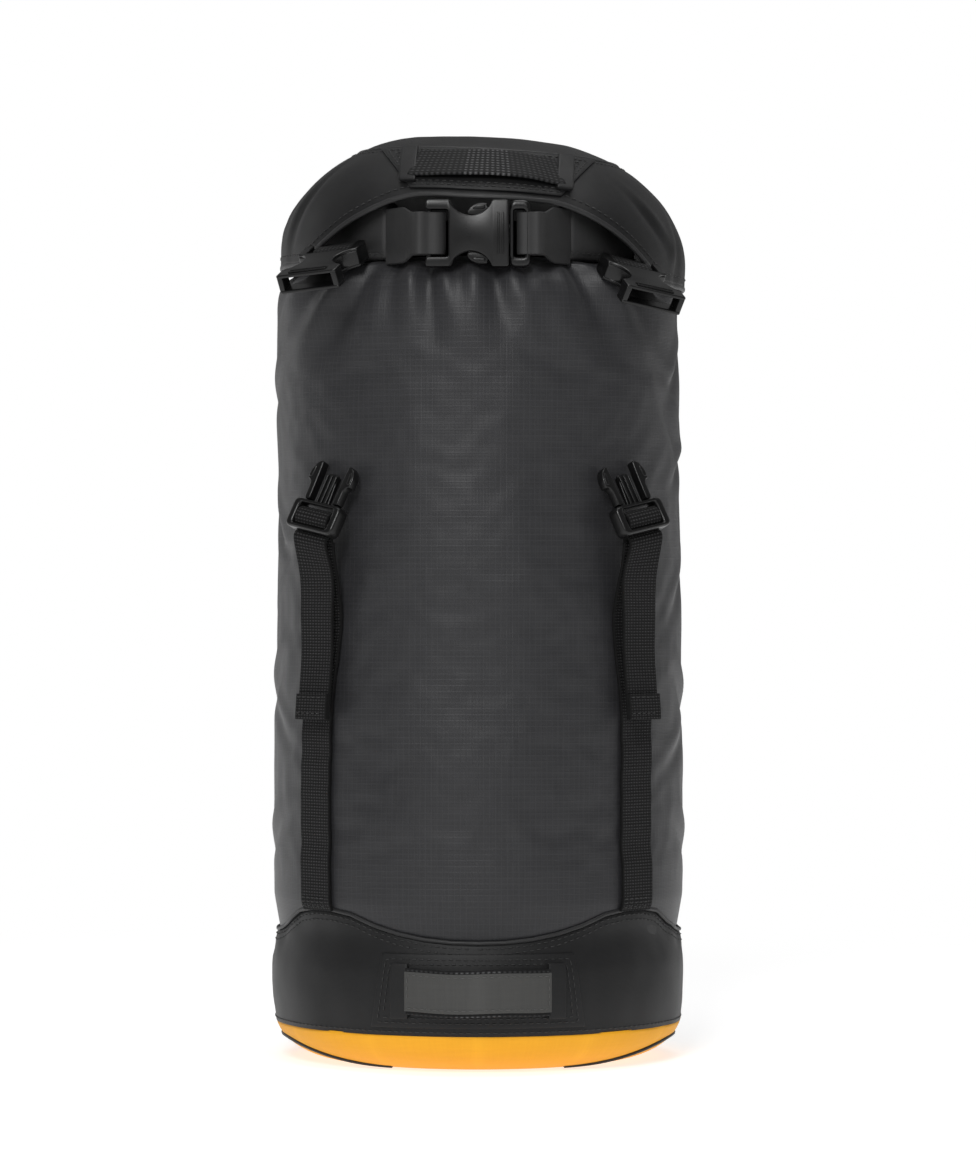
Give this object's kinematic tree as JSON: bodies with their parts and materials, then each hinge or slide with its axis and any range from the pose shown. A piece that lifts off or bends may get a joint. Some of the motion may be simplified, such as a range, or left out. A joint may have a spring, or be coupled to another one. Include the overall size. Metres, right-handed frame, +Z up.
{
  "type": "compression sack",
  "caption": "Stuffed roll-top compression sack with a lift-off lid, webbing straps with side-release buckles, grab loops and a flat base.",
  "frame": {"origin": "centre of the flat base, on the surface it stands on", "axes": "+Z up the sack, the closure and the base label face -Y, +X to the right seen from the front"},
  "size_m": [0.1846, 0.2022, 0.4106],
  "materials": {
    "bag_fabric": "satin ripstop",
    "harness_fabric": "matte coated weave",
    "base_fabric": "matte",
    "webbing": "ribbed",
    "collar_tape": "smooth",
    "plastic": "moulded satin",
    "label": "woven"
  },
  "bodies": {
    "sack": {"bag_body": "bag_fabric", "base_panel": "base_fabric", "base_welt": "collar_tape", "base_cuff": "harness_fabric", "cuff_patch": "harness_fabric", "base_handle": "webbing", "base_label": "label", "bag_neck": "bag_fabric", "strap_front_left": "webbing", "strap_front_right": "webbing", "strap_rear_left": "webbing", "strap_rear_right": "webbing"},
    "crown": {"rolled_collar": "collar_tape", "mouth_stiffener": "plastic", "closure_socket": "plastic", "closure_tab_left": "webbing", "closure_tab_right": "webbing"},
    "closure_plug": {"closure_plug": "plastic"},
    "closure_prong_lower": {"closure_prong_lower": "plastic"},
    "closure_prong_upper": {"closure_prong_upper": "plastic"},
    "lid": {"lid_side_panel": "harness_fabric", "lid_top_panel": "harness_fabric", "lid_binding": "collar_tape", "lid_patch": "harness_fabric", "lid_handle": "webbing", "lid_tab_front_left": "webbing", "lid_tab_front_right": "webbing", "lid_tab_rear_left": "webbing", "lid_tab_rear_right": "webbing"},
    "plug_front_left": {"plug_front_left": "plastic", "tail_front_left": "webbing"},
    "plug_front_left_prong_a": {"plug_front_left_prong_a": "plastic"},
    "plug_front_left_prong_b": {"plug_front_left_prong_b": "plastic"},
    "plug_front_right": {"plug_front_right": "plastic", "tail_front_right": "webbing"},
    "plug_front_right_prong_a": {"plug_front_right_prong_a": "plastic"},
    "plug_front_right_prong_b": {"plug_front_right_prong_b": "plastic"},
    "plug_rear_left": {"plug_rear_left": "plastic", "tail_rear_left": "webbing"},
    "plug_rear_left_prong_a": {"plug_rear_left_prong_a": "plastic"},
    "plug_rear_left_prong_b": {"plug_rear_left_prong_b": "plastic"},
    "plug_rear_right": {"plug_rear_right": "plastic", "tail_rear_right": "webbing"},
    "plug_rear_right_prong_a": {"plug_rear_right_prong_a": "plastic"},
    "plug_rear_right_prong_b": {"plug_rear_right_prong_b": "plastic"},
    "socket_front_left": {"socket_front_left": "plastic"},
    "socket_front_right": {"socket_front_right": "plastic"},
    "socket_rear_left": {"socket_rear_left": "plastic"},
    "socket_rear_right": {"socket_rear_right": "plastic"}
  },
  "joints": [
    {"name": "compression", "type": "slide", "parent": "sack", "child": "crown", "axis": [0, 0, -1], "range_m": [0, 0.05], "stiffness_N_per_m": 400, "springref_m": -0.03, "deforming": ["bag_neck"]},
    {"name": "lid_lift", "type": "slide", "parent": "crown", "child": "lid", "axis": [0, 0, 1], "range_m": [0, 0.12]},
    {"name": "closure_release", "type": "slide", "parent": "crown", "child": "closure_plug", "axis": [1, 0, 0], "range_m": [0, 0.022], "deforming": ["closure_tab_right", "closure_prong_lower", "closure_prong_upper"]},
    {"name": "closure_prong_lower_flex", "type": "hinge", "parent": "closure_plug", "child": "closure_prong_lower", "pos_m": [0.0133, -0.0868, 0.3529], "axis": [0, 1, 0], "range_deg": [0, 8], "stiffness_Nm_per_rad": 0.05},
    {"name": "closure_prong_upper_flex", "type": "hinge", "parent": "closure_plug", "child": "closure_prong_upper", "pos_m": [0.0133, -0.0868, 0.3705], "axis": [0, -1, 0], "range_deg": [0, 8], "stiffness_Nm_per_rad": 0.05},
    {"name": "adjust_front_left", "type": "slide", "parent": "sack", "child": "plug_front_left", "axis": [0, 0, -1], "range_m": [-0.03, 0.05], "deforming": ["strap_front_left"]},
    {"name": "plug_front_left_prong_a_flex", "type": "hinge", "parent": "plug_front_left", "child": "plug_front_left_prong_a", "pos_m": [-0.06077, -0.07995, 0.24433], "axis": [-0.5845, -0.7176, 0.3788], "range_deg": [0, 8], "stiffness_Nm_per_rad": 0.05},
    {"name": "plug_front_left_prong_b_flex", "type": "hinge", "parent": "plug_front_left", "child": "plug_front_left_prong_b", "pos_m": [-0.07333, -0.06803, 0.24753], "axis": [0.5845, 0.7176, -0.3788], "range_deg": [0, 8], "stiffness_Nm_per_rad": 0.05},
    {"name": "adjust_front_right", "type": "slide", "parent": "sack", "child": "plug_front_right", "axis": [0, 0, -1], "range_m": [-0.03, 0.05], "deforming": ["strap_front_right"]},
    {"name": "plug_front_right_prong_a_flex", "type": "hinge", "parent": "plug_front_right", "child": "plug_front_right_prong_a", "pos_m": [0.07333, -0.06803, 0.24753], "axis": [0.5845, -0.7176, 0.3788], "range_deg": [0, 8], "stiffness_Nm_per_rad": 0.05},
    {"name": "plug_front_right_prong_b_flex", "type": "hinge", "parent": "plug_front_right", "child": "plug_front_right_prong_b", "pos_m": [0.06077, -0.07995, 0.24433], "axis": [-0.5845, 0.7176, -0.3788], "range_deg": [0, 8], "stiffness_Nm_per_rad": 0.05},
    {"name": "adjust_rear_left", "type": "slide", "parent": "sack", "child": "plug_rear_left", "axis": [0, 0, -1], "range_m": [-0.03, 0.05], "deforming": ["strap_rear_left"]},
    {"name": "plug_rear_left_prong_a_flex", "type": "hinge", "parent": "plug_rear_left", "child": "plug_rear_left_prong_a", "pos_m": [-0.07333, 0.06803, 0.24753], "axis": [-0.5845, 0.7176, 0.3788], "range_deg": [0, 8], "stiffness_Nm_per_rad": 0.05},
    {"name": "plug_rear_left_prong_b_flex", "type": "hinge", "parent": "plug_rear_left", "child": "plug_rear_left_prong_b", "pos_m": [-0.06077, 0.07995, 0.24433], "axis": [0.5845, -0.7176, -0.3788], "range_deg": [0, 8], "stiffness_Nm_per_rad": 0.05},
    {"name": "adjust_rear_right", "type": "slide", "parent": "sack", "child": "plug_rear_right", "axis": [0, 0, -1], "range_m": [-0.03, 0.05], "deforming": ["strap_rear_right"]},
    {"name": "plug_rear_right_prong_a_flex", "type": "hinge", "parent": "plug_rear_right", "child": "plug_rear_right_prong_a", "pos_m": [0.06077, 0.07995, 0.24433], "axis": [0.5845, 0.7176, 0.3788], "range_deg": [0, 8], "stiffness_Nm_per_rad": 0.05},
    {"name": "plug_rear_right_prong_b_flex", "type": "hinge", "parent": "plug_rear_right", "child": "plug_rear_right_prong_b", "pos_m": [0.07333, 0.06803, 0.24753], "axis": [-0.5845, -0.7176, -0.3788], "range_deg": [0, 8], "stiffness_Nm_per_rad": 0.05},
    {"name": "socket_front_left_swing", "type": "hinge", "parent": "lid", "child": "socket_front_left", "pos_m": [-0.06132, -0.06224, 0.35502], "axis": [-0.9066, 0.4149, -0.0775], "range_deg": [0, 40]},
    {"name": "socket_front_right_swing", "type": "hinge", "parent": "lid", "child": "socket_front_right", "pos_m": [0.06518, -0.06224, 0.34839], "axis": [-0.8935, -0.4149, 0.1719], "range_deg": [0, 40]},
    {"name": "socket_rear_left_swing", "type": "hinge", "parent": "lid", "child": "socket_rear_left", "pos_m": [-0.06132, 0.06224, 0.35502], "axis": [0.9066, 0.4149, 0.0775], "range_deg": [0, 40]},
    {"name": "socket_rear_right_swing", "type": "hinge", "parent": "lid", "child": "socket_rear_right", "pos_m": [0.06518, 0.06224, 0.34839], "axis": [0.8935, -0.4149, -0.1719], "range_deg": [0, 40]}
  ],
  "couplings": [
    {"joint": "closure_prong_upper_flex", "follows": "closure_prong_lower_flex", "ratio": 1},
    {"joint": "plug_front_left_prong_b_flex", "follows": "plug_front_left_prong_a_flex", "ratio": 1},
    {"joint": "plug_front_right_prong_b_flex", "follows": "plug_front_right_prong_a_flex", "ratio": 1},
    {"joint": "plug_rear_left_prong_b_flex", "follows": "plug_rear_left_prong_a_flex", "ratio": 1},
    {"joint": "plug_rear_right_prong_b_flex", "follows": "plug_rear_right_prong_a_flex", "ratio": 1}
  ]
}
